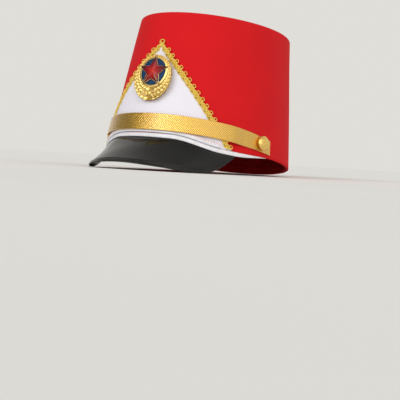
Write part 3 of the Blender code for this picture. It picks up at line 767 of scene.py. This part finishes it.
def make_braid():
    """The gold scroll braid: two plies that cross over a dark tape of painted shade, loops outside, scallops
    inside.
    """
    length, step = 0.134, 0.00030
    base = TRIM_OUT - 0.0004
    ply_radius, middle_radius, loop_radius = 0.00054, 0.00036, 0.00042
    scallop_radius, ring_radius = 0.00052, 0.00055
    middle, lane_gap, weave_reach = -0.0006, 0.00085, 0.00130
    ply_height, crossing_height, flat_height, loop_height = 0.00095, 0.00042, 0.00060, 0.00070
    loop_middle, loop_reach, loop_curl = 0.00195, 0.00150, 0.0034
    scallop_middle, scallop_reach = -0.00220, 0.00115
    ring_width, ring_length, ring_drop = 0.0024, 0.0017, 0.0034
    along = np.arange(-length, length + step, step)
    phase = 2 * pi * np.abs(along) / BRAID_PITCH
    cords = []
    for ply in (1, -1):
        for lane in (-0.5, 0.5):
            aside = middle + ply * weave_reach * np.sin(phase + 0.6) + lane * lane_gap
            out = base + ply_height + ply * crossing_height * np.cos(2 * phase + 1.2)
            cords.append((braid_path(along, aside, out), ply_radius))
    cords.append((braid_path(along, middle, base + flat_height), middle_radius))

    turn = np.arange(0, 2 * pi * length / BRAID_PITCH, 0.16)
    forward = BRAID_PITCH / (2 * pi) * (turn + 0.9 * pi) - loop_curl * np.sin(turn)
    past_apex = forward > 0.0012
    turn, forward = turn[past_apex], forward[past_apex]
    aside = loop_middle + loop_reach * np.cos(turn)
    out = base + loop_height + 0.00030 * np.cos(turn + 0.9)
    for side in (1, -1):
        cords.append((braid_path(side * forward, aside, out), loop_radius))
    aside = scallop_middle - scallop_reach * np.abs(np.cos(phase / 2 + 0.4)) ** 0.8
    cords.append((braid_path(along, aside, base + flat_height), scallop_radius))

    turn = np.linspace(-0.75 * pi, 0.75 * pi, 24)
    sideways = ring_width / (RIM_HALF_WIDTH - LEAN * BRAID_APEX) * np.sin(turn)
    apex_ring = on_crown(sideways, BRAID_APEX - ring_drop + ring_length * np.cos(turn), base + 0.0009)
    cords.append((apex_ring, ring_radius))
    cords = [(above_rim(path), radius) for path, radius in cords]
    gold = tubes("scroll_braid", *zip(*cords), [THREAD], sides=6, pitch=0.0010)

    # The dark tape under the cords is painted shade for the gaps between them
    tape_middle, tape_half_width, tape_height = -0.0008, 0.0019, 0.0003
    tape_section = ((-1, 0.0), (-0.9, 0.00025), (0.9, 0.00025), (1, 0.0), (0.9, -0.0001), (-0.9, -0.0001))
    tape = [braid_path(along, tape_middle + tape_half_width * side, base + tape_height + lift)
            for side, lift in tape_section]
    ground = sweep("ground", above_rim(np.stack(tape, axis=1)), [BRAID_SHADE_TAPE])
    stand_for(join("scroll_braid", [gold, ground]), "gold_braid", "panel_braid")


def make_upper_roll():
    """The upper white roll along the foot of the panel, with tucked ends and a few red stitches."""
    roll_foot = 0.0045
    bulge_depth = 0.00075
    clearance = 0.0003
    inner_apex = BRAID_APEX - (BRAID_WIDTH + 0.0006) / sin(SLANT)
    corner = from_flat(BRAID_APEX - roll_foot, (inner_apex - roll_foot) * tan(SLANT), 0.0)
    limit = float(angle_of(corner))
    angle = np.linspace(-limit, limit, 300)
    end = 1 - np.clip((np.abs(angle) / limit - 0.97) / 0.03, 0, 1) ** 2 * 0.75
    middle = rim_line(angle) + clearance + PANEL_ROLL_HEIGHT / 2
    crimp = 1 + 0.03 * np.sin(angle * 260)
    section = []
    for turn in full_turn(14):
        bulge = bulge_depth * np.abs(np.cos(turn)) ** 0.7 * np.sign(np.cos(turn)) * end * crimp
        height = middle + PANEL_ROLL_HEIGHT / 2 * end * np.sin(turn)
        section.append(on_crown(angle, height, TRIM_OUT + 0.0002 + bulge))
    stand_for(strip("piping_upper", section, PIPING, PIPING_GIRTH), "white_piping", "panel_piping")

    stitches = []
    for start in np.arange(-limit * 0.97, limit * 0.96, 0.030):
        across = start + np.linspace(0, 0.019, 5)
        height = rim_line(across) + clearance + PANEL_ROLL_HEIGHT * np.linspace(0.86, 0.62, 5)
        stitches.append(on_crown(across, height, TRIM_OUT + 0.00088))
    cord = tubes("piping_edge_thread", stitches, [0.00022] * len(stitches), [STITCH], sides=6, pitch=0.0008)


def under_slope(angle):
    """Slope of the joint between the piping and the visor, which levels out where the piping ends."""
    return tan(UNDER_PIPING_SLOPE) * piping_height(angle) / PIPING_HEIGHT


def make_lower_roll():
    """The lower white roll between the rim and the visor, thinning out past the visor's ends."""
    bulge_depth = 0.0010
    angle = np.linspace(-PIPING_END, PIPING_END, 320)
    low = visor_line(angle)
    high = rim_line(angle) - 0.00015
    inner = INSIDE + 0.0003
    slope = under_slope(angle)
    size = np.maximum((high - low) / PIPING_HEIGHT, 0.06)
    crimp = 0.00006 * np.sin(angle * 240)
    corners = [(inner, low + slope * (PIPING_LIP - inner)), (PIPING_LIP - 0.0006, low + slope * 0.0006),
               (PIPING_LIP, low)]
    for share in (0.12, 0.26, 0.42, 0.58, 0.74, 0.88):
        bulge = bulge_depth * np.sin(pi * (share * 0.9 + 0.08)) * size + crimp
        corners.append((PIPING_LIP * (1 - share * 0.5) + bulge, low + (high - low) * share))
    corners += [(PIPING_LIP * 0.45, high), (inner, high)]
    section = [on_crown(angle, height, out) for out, height in corners]
    stand_for(strip("piping_lower", section, PIPING, PIPING_GIRTH), "white_piping", "visor_piping")


def make_strap():
    """The woven gold strap, with its lattice in relief between two plain edges."""
    lattice_depth, edge_height, rib_depth, rib_pitch = 0.00022, 0.00020, 0.00004, 0.0009
    narrowing_share = 0.10
    angle = np.linspace(-STRAP_END, STRAP_END, 1200)[:, None]
    arc = run_length(on_crown(angle, strap_height(angle))[:, 0])[:, None]
    out = strap_out(angle)
    width = np.linspace(-1, 1, 46)
    narrowing = 1 - narrowing_share * smooth_step(np.degrees(np.abs(angle)), 58, 82)
    half = STRAP_WIDTH / 2 * narrowing
    middle = strap_height(angle) - STRAP_WIDTH / 2 * (1 - narrowing) * 0.8
    across = width * half
    first = np.sin(pi * (arc + across) / STRAP_CELL) ** 2
    lattice = first * (0.35 + 0.65 * np.sin(pi * (arc - across) / STRAP_CELL) ** 2)
    field = 1 - smooth_step(np.abs(width), 0.84, 0.88)
    edge = smooth_step(np.abs(width), 0.86, 0.92) * (1 - smooth_step(np.abs(width), 0.95, 1.0))
    ribs = rib_depth * np.sin(2 * pi * arc / rib_pitch)
    relief = lattice_depth * lattice * field + (edge_height + ribs) * edge
    belly = (0.00012 * np.sin(arc * 95) + 0.00010 * np.sin(arc * 41 + 1)) * (1 - width ** 2)
    front = on_crown(angle, middle + across, out + STRAP_THICKNESS * 0.8 + relief + belly)
    back_across = half * np.linspace(1, -1, 7)
    back = on_crown(angle, middle + 0.995 * back_across, out + 0.0001)
    uv = np.concatenate((pattern(arc, across), pattern(arc, back_across)), axis=1)
    strap = sweep("strap_woven", np.concatenate((front, back), axis=1), [RIBBON], uv=uv)
    stand_for(strap, "gold_strap", "front_strap")


def make_button(side):
    """A domed button with a rolled rim and a plain rosette in low relief, and its shank and washer."""
    name = "button_left" if side > 0 else "button_right"
    angle = side * BUTTON_ANGLE
    seat = STRAP_END_OUT + STRAP_THICKNESS + 0.0006
    rim = seat + 0.0018
    dome_height = 0.0034
    shank_radius = 0.0016
    washer_radius, washer_face, washer_thickness = 0.0040, -WALL - 0.0003, 0.0008
    turn = full_turn(80)[:, None]
    share = np.linspace(0.02, 1, 30)
    dome = dome_height * np.sqrt(np.maximum(0, 1 - (share * 0.985) ** 2))
    petals = 0.00030 * np.cos(5 * turn) * bell(share, 0.42, 0.18)
    ring = 0.00022 * bell(share, 0.74, 0.035) - 0.00018 * bell(share, 0.84, 0.05)
    boss = 0.00025 * bell(share, 0.0, 0.14)
    front = round_grid(turn, BUTTON_RADIUS * share, rim + dome + petals + ring + boss)
    under = np.array(((BUTTON_RADIUS, rim - 0.0004), (BUTTON_RADIUS * 0.97, rim - 0.0008),
                      (BUTTON_RADIUS * 0.86, seat + 0.0005), (BUTTON_RADIUS * 0.80, seat),
                      (shank_radius, seat), (shank_radius, washer_face), (washer_radius, washer_face),
                      (washer_radius, washer_face - washer_thickness)))
    back = round_grid(turn, under[:, 0], under[:, 1])
    button = capped(name + "_dome", np.concatenate((front, back), axis=1), [CAST], (0, 0, front[0, 0, 2]),
                    (0, 0, back[0, -1, 2]), crown_frame(angle, float(strap_height(angle))))
    stand_for(button, "gold_metal", name)


def visor_reach(angle):
    """The visor's reach beyond the piping, which falls to nothing at its two ends."""
    fraction = np.minimum(np.abs(angle) / VISOR_END, 1.0)
    return VISOR_REACH * (1 - fraction ** VISOR_FRONT_POWER) ** VISOR_TIP_POWER


def visor_points(angle, share):
    """Points on the visor's upper face, from the piping at share 0 to the outer edge at 1."""
    turn = facing(angle) * VISOR_TURN_SHARE
    slope = VISOR_SLOPE + VISOR_SIDE_SLOPE * (angle / VISOR_END) ** 2
    lip = on_crown(angle, visor_line(angle) - VISOR_GAP, PIPING_LIP)
    reach = visor_reach(angle)
    forward = reach * (share * np.cos(slope) - VISOR_FLARE * share * (1 - share))
    outwards = points(np.sin(turn), -np.cos(turn), 0)
    fall = points(0, 0, reach * share * np.sin(slope))
    return lip + outwards * forward[..., None] - fall


def make_visor():
    """The patent visor: rolled outer edge, pressed line, smooth face, underside and inner flange."""
    flange_height, flange_thickness = 0.0055, 0.0013
    columns, edge_rows, face_rows = 200, 24, 44
    angle = VISOR_END * 0.985 * np.sin(np.linspace(-pi / 2, pi / 2, columns))
    share = 1 - np.concatenate((np.linspace(0, 0.16, edge_rows), np.linspace(0.18, 1, face_rows - edge_rows)))
    face = visor_points(angle[:, None], share)
    normal = unit(np.cross(np.gradient(face, axis=0), np.gradient(face, axis=1)))
    if normal[columns // 2, face_rows // 2, 2] < 0:
        normal = -normal
    reach = visor_reach(angle)[:, None]
    from_edge = (1 - share) * reach
    room = np.clip((reach - 0.006) / 0.01, 0, 1)
    line = -0.00060 * bell(from_edge, 0.0042, 0.00075)
    raised = 0.00060 * bell(from_edge, 0.0020, 0.0010)
    slow = 0.00025 * np.sin(angle[:, None] * 9 + share * 4) * np.sin(pi * share)
    upper = face + normal * ((line + raised + slow) * room)[..., None]
    beneath = face - normal * (VISOR_THICKNESS * np.clip(reach / 0.004, 0.25, 1))[..., None]
    lower = beneath[:, ::-1][:, ::3]

    outer, inner = upper[:, 0], beneath[:, 0]
    middle = (outer + inner) / 2
    radius = np.linalg.norm(outer - inner, axis=1, keepdims=True) / 2
    lead = unit(face[:, 0] - face[:, 1])
    rolled = [middle + (outer - middle) * cos(turn) + lead * radius * sin(turn)
              for turn in (3 * pi / 4, pi / 2, pi / 4)]
    low = visor_line(angle) + under_slope(angle) * (PIPING_LIP - INSIDE) - VISOR_GAP
    high = rim_line(angle) + flange_height
    back = INSIDE - flange_thickness
    tucked = [on_crown(angle, low, INSIDE), on_crown(angle, high, INSIDE), on_crown(angle, high, back),
              on_crown(angle, low + 0.0010, back - 0.0001)]
    grid = np.concatenate((upper, np.stack(tucked, axis=1), lower, np.stack(rolled, axis=1)), axis=1)
    uv = pattern(run_length(face[:, 0])[:, None], np.linspace(0, 0.1, grid.shape[1]))
    stand_for(sweep("visor_patent", grid, [PATENT], uv=uv), "black_patent", "visor")


def plate_radius(turn):
    """Reach of the badge's oval plate from the disc's centre, which lies above the oval's own centre."""
    aside = np.sin(turn) / PLATE_HALF_WIDTH
    upward = np.cos(turn) / PLATE_HALF_HEIGHT
    sink = PLATE_SINK / PLATE_HALF_HEIGHT
    square = aside * aside + upward * upward
    return (np.sqrt(square - (aside * sink) ** 2) - upward * sink) / square


def leaf_points(base, direction, length, width):
    """One laurel leaf on the badge: a pointed oval with a raised ridge, above its flat back."""
    along = np.linspace(0, 1, LEAF_GRID[0])[:, None]
    across = np.linspace(-1, 1, LEAF_GRID[1])
    x = along * length
    y = across * np.sin(pi * along ** 0.8) ** 0.75 * (1 - 0.15 * along) * width / 2
    ridge = 0.00050 * (1 - np.abs(across)) ** 0.8 * np.sin(pi * along) ** 0.5
    rise = 0.0006 * np.sin(pi * along * 0.95) + ridge + along * 0.0003 - 0.0003 * across ** 2
    placed_x = base[0] + x * cos(direction) - y * sin(direction)
    placed_y = base[1] + x * sin(direction) + y * cos(direction)
    # Points past the badge's outline are drawn back to it
    limit = plate_radius(np.arctan2(placed_x, placed_y)) + 0.0004
    drawn = np.minimum(1.0, limit / np.maximum(np.hypot(placed_x, placed_y), 1e-9))
    return np.stack([points(placed_x * drawn, placed_y * drawn, PLATE_FRONT + height)
                     for height in (rise, -0.0003)]).reshape(-1, 3)


def make_wreath():
    """The cast badge: shaped plate, beaded bezel, sprays of laurel leaves, and a bow with its knot."""
    sides = 120
    turn = full_turn(sides)
    outline = plate_radius(turn) + 0.00035 * np.cos(26 * turn) * (1 - 0.4 * np.cos(turn))
    # inset from the outline, height: a plate with eased edges
    steps = ((0.0006, PLATE_BACK), (0.0, PLATE_BACK + 0.0004), (0.0, PLATE_FRONT - 0.0005),
             (0.0007, PLATE_FRONT))
    grid = np.stack([points((outline - inset) * np.sin(turn), (outline - inset) * np.cos(turn), height)
                     for inset, height in steps], axis=1)
    rows = len(steps)
    faces = grid_faces(sides, rows, True)
    faces += [range(0, sides * rows, rows)[::-1], range(rows - 1, sides * rows, rows)]
    plate = build("plate", grid, faces, [CAST], matrix=BADGE_FRAME)

    # inward from the bezel's outer side, height above the plate
    section = ((BEZEL_OUTER, 0.0004), (0.0019, 0.0004), (0.0017, 0.0012), (0.0019, 0.0015), (0.0014, 0.0013),
               (0.0010, 0.0010), (0.0004, 0.0013), (0.0, 0.0006), (0.0, -0.0004), (BEZEL_OUTER, -0.0004))
    profile = [(BEZEL_OUTER - inward, PLATE_FRONT + height) for inward, height in section]
    bezel = turned("bezel", profile, [CAST], BADGE_FRAME, 96)

    leaves, leaf_faces = [], []
    # share of the band from bezel to outline, lean of the row's leaves outwards
    leaf_rows = ((0.14, 0.05), (0.48, 0.16), (0.80, 0.30))
    places = radians(177) - np.linspace(0, radians(168), LEAVES_IN_ROW)
    for side in (1, -1):
        for share, lean in leaf_rows:
            for place in places:
                band = float(plate_radius(place)) - BEZEL_OUTER
                radius = BEZEL_OUTER + band * share
                base = (side * radius * sin(place), radius * cos(place))
                direction = pi - place - lean if side > 0 else place + lean
                length = 0.0030 + 0.0042 * band / (PLATE_FOOT - BEZEL_OUTER)
                leaf_faces += sheet_faces(*LEAF_GRID, len(leaves) * 2 * LEAF_GRID[0] * LEAF_GRID[1])
                leaves.append(leaf_points(base, direction, length, max(0.0010, band * 0.35)))
    sprays = build("sprays", np.vstack(leaves), leaf_faces, [CAST], matrix=BADGE_FRAME)

    ribbons = []
    ribbon_radius = 0.0009
    loop_width, loop_height, tail_width, tail_drop = 0.0034, 0.0016, 0.0058, 0.0036
    foot = -(BEZEL_OUTER + 0.0062)
    turn = np.linspace(0, 2 * pi, 26)
    share = np.linspace(0, 1, 12)
    for side in (1, -1):
        loop_x = side * (0.0036 + loop_width * np.cos(turn))
        ribbons.append(points(loop_x, foot + loop_height * np.sin(turn) + 0.0006, PLATE_FRONT + 0.0010))
        tail_x = side * (0.0005 + tail_width * share)
        tail_y = foot - 0.0004 - tail_drop * share ** 1.3
        ribbons.append(points(tail_x, tail_y, PLATE_FRONT + 0.0009 - 0.0003 * share))
    bow = tubes("bow", ribbons, [ribbon_radius] * len(ribbons), [CAST], sides=8, matrix=BADGE_FRAME)
    knot_radius = 0.0024
    profile = [(0, PLATE_FRONT + 0.0024)]
    for t in np.linspace(0.02, pi / 2, 8):
        profile.append((knot_radius * sin(t), PLATE_FRONT + 0.0002 + 0.0022 * cos(t)))
    profile += [(knot_radius, PLATE_FRONT - 0.0002), (0, PLATE_FRONT - 0.0002)]
    knot = turned("knot", profile, [CAST], BADGE_FRAME @ Matrix.Translation((0, foot + 0.0004, 0)), 24)
    stand_for(join("badge_laurel", [plate, bezel, sprays, bow, knot]), "gold_metal", "badge_wreath")


def make_enamel():
    """The blue disc, slightly domed, with fine rays struck under the glass."""
    base = PLATE_FRONT + 0.0005
    edge_height, dome_height, ray_height = 0.0006, 0.0003, 0.00006
    turn = full_turn(144)[:, None]
    share = np.linspace(0.03, 1, 14)
    field = smooth_step(share, 0.15, 0.6) * (1 - smooth_step(share, 0.93, 1.0))
    height = base + edge_height + dome_height * (1 - share ** 2) + ray_height * np.cos(36 * turn) * field
    face = round_grid(turn, ENAMEL_RADIUS * share, height)
    grid = np.concatenate((face, round_grid(turn, ENAMEL_RADIUS, base)), axis=1)
    centre = (0, 0, base + edge_height + dome_height)
    disc = capped("badge_blue_disc", grid, [BLUE], centre, (0, 0, base), BADGE_FRAME)
    stand_for(disc, "blue_enamel", "badge_enamel")


def make_star():
    """The faceted star, dark red with a thin pale gold line along its outline and two lower ridges."""
    rim = PLATE_FRONT + 0.0023
    peak = rim + 0.0020
    foot = rim - 0.0014
    body_share, line_share = 0.97, 0.98
    line_radius, low_line_radius, ridge_radius = 0.00012, 0.00020, 0.00014
    corners = []
    for k in range(10):
        radius = STAR_WAIST if k % 2 else STAR_RADIUS
        turn = k * pi / 5 + pi / 2
        corners.append((radius * cos(turn), radius * sin(turn)))
    verts = [(x * body_share, y * body_share, z) for z in (rim, foot) for x, y in corners]
    verts += [(0, 0, peak), (0, 0, foot)]
    faces = []
    for k in range(10):
        after = (k + 1) % 10
        faces += [(k, after, 20), (10 + after, 10 + k, 21), (k, 10 + k, 10 + after, after)]
    body = build("star_body", verts, faces, [STAR_RED], matrix=BADGE_FRAME, smooth=False)

    edge = [np.array((x * line_share, y * line_share, rim - 0.0002)) for x, y in corners]
    share = np.linspace(0, 1, 8)[:, None]
    paths = [edge[k] + (edge[(k + 1) % 10] - edge[k]) * share for k in range(10)]
    radii = [low_line_radius if 3 <= k <= 6 else line_radius for k in range(10)]
    for k in (4, 6):
        paths.append(edge[k] + (0, 0, 0.0002) + ((0, 0, peak) - edge[k]) * share * 0.7)
        radii.append(ridge_radius)
    lines = tubes("star_edges", paths, radii, [CAST], sides=6, matrix=BADGE_FRAME)
    stand_for(join("badge_red_star", [body, lines]), "red_enamel", "badge_star")


make_crown()
make_top()
make_hem()
make_panel()
make_braid()
make_upper_roll()
make_lower_roll()
make_strap()
make_button(1)
make_button(-1)
make_visor()
make_wreath()
make_enamel()
make_star()
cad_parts["badge_post"].material_slots[0].material = STEEL


# Surroundings

KEY_DIRECTION = (radians(-10), radians(29))
KEY_ENERGY = 0.90
KEY_ANGLE = radians(30)
WORLD_COLOUR = (0.745, 0.730, 0.690, 1)
WORLD_SHADES = (
    # azimuth, elevation, cosine where the shade starts, cosine where it is full, strength there
    (radians(-70), radians(15), 0.72, 0.90, 0.22),
    (0.0, radians(90), 0.75, 0.97, 0.65),
    (radians(42), radians(26), 0.66, 0.90, 1.9),
)
CAMERA_AZIMUTH = radians(31.39)
CAMERA_ELEVATION = radians(1.95)
CAMERA_ROLL = radians(-3.30)
CAMERA_PLACE = (0.6170, -0.9886, 0.012)
CAMERA_FOCUS = 1167.0
PHOTO_WIDTH = 400
SENSOR_WIDTH = 36


def towards(azimuth, elevation):
    """The direction that points away from the hat, counted round from its front."""
    return Vector((sin(azimuth) * cos(elevation), -cos(azimuth) * cos(elevation), sin(elevation)))


def make_floor():
    mat = Recipe("floor_paper", (0.77, 0.77, 0.77), 0.9, Specular_IOR_Level=0.0)
    tone = mat.noise(3.0, 2)
    mat.colour(tone, (0.3, (0.81, 0.81, 0.805)), (0.7, (0.83, 0.83, 0.825)))
    bpy.ops.mesh.primitive_plane_add(size=60, location=(0, 0, -0.0002))
    floor = bpy.context.object
    floor.name = "floor"
    floor.data.materials.append(mat.material)


def make_light():
    """A soft key in front, and pale surroundings that are dimmer low on the left and brighter right."""
    world = bpy.data.worlds.new("studio")
    bpy.context.scene.world = world
    world.use_nodes = True
    tree = Tree(world.node_tree)
    background = tree.nodes["Background"]
    background.inputs["Color"].default_value = WORLD_COLOUR
    direction = tree.node("ShaderNodeTexCoord").outputs["Generated"]
    strength = 1.0
    for azimuth, elevation, start, full, level in WORLD_SHADES:
        nearness = tree.node("ShaderNodeVectorMath", "DOT_PRODUCT",
                             {0: direction, 1: towards(azimuth, elevation)}).outputs["Value"]
        limits = {"Value": nearness, "From Min": start, "From Max": full, "To Min": 1.0, "To Max": level}
        fade = tree.node("ShaderNodeMapRange", inputs=limits, interpolation_type="SMOOTHSTEP")
        strength = tree.math("MULTIPLY", strength, fade.outputs["Result"])
    tree.feed(background.inputs["Strength"], strength)

    key = bpy.data.lights.new("key", "SUN")
    key.energy = KEY_ENERGY
    key.angle = KEY_ANGLE
    item = place_object("key", key)
    item.rotation_euler = (-towards(*KEY_DIRECTION)).to_track_quat("-Z", "Y").to_euler()
    bpy.context.scene.view_settings.view_transform = "Standard"


def make_camera():
    """The photo's direction, raised until the camera stands just above the floor."""
    camera = bpy.data.cameras.new("camera")
    camera.sensor_width = SENSOR_WIDTH
    camera.lens = SENSOR_WIDTH * CAMERA_FOCUS / PHOTO_WIDTH
    camera.clip_start = 0.05
    item = place_object("camera", camera)
    back = towards(CAMERA_AZIMUTH, CAMERA_ELEVATION)
    right = Vector((cos(CAMERA_AZIMUTH), sin(CAMERA_AZIMUTH), 0))
    up = back.cross(right)
    rolled_right = right * cos(CAMERA_ROLL) - up * sin(CAMERA_ROLL)
    rolled_up = right * sin(CAMERA_ROLL) + up * cos(CAMERA_ROLL)
    item.matrix_world = placed(CAMERA_PLACE, rolled_right, rolled_up, back)
    bpy.context.scene.camera = item


make_floor()
make_light()
make_camera()
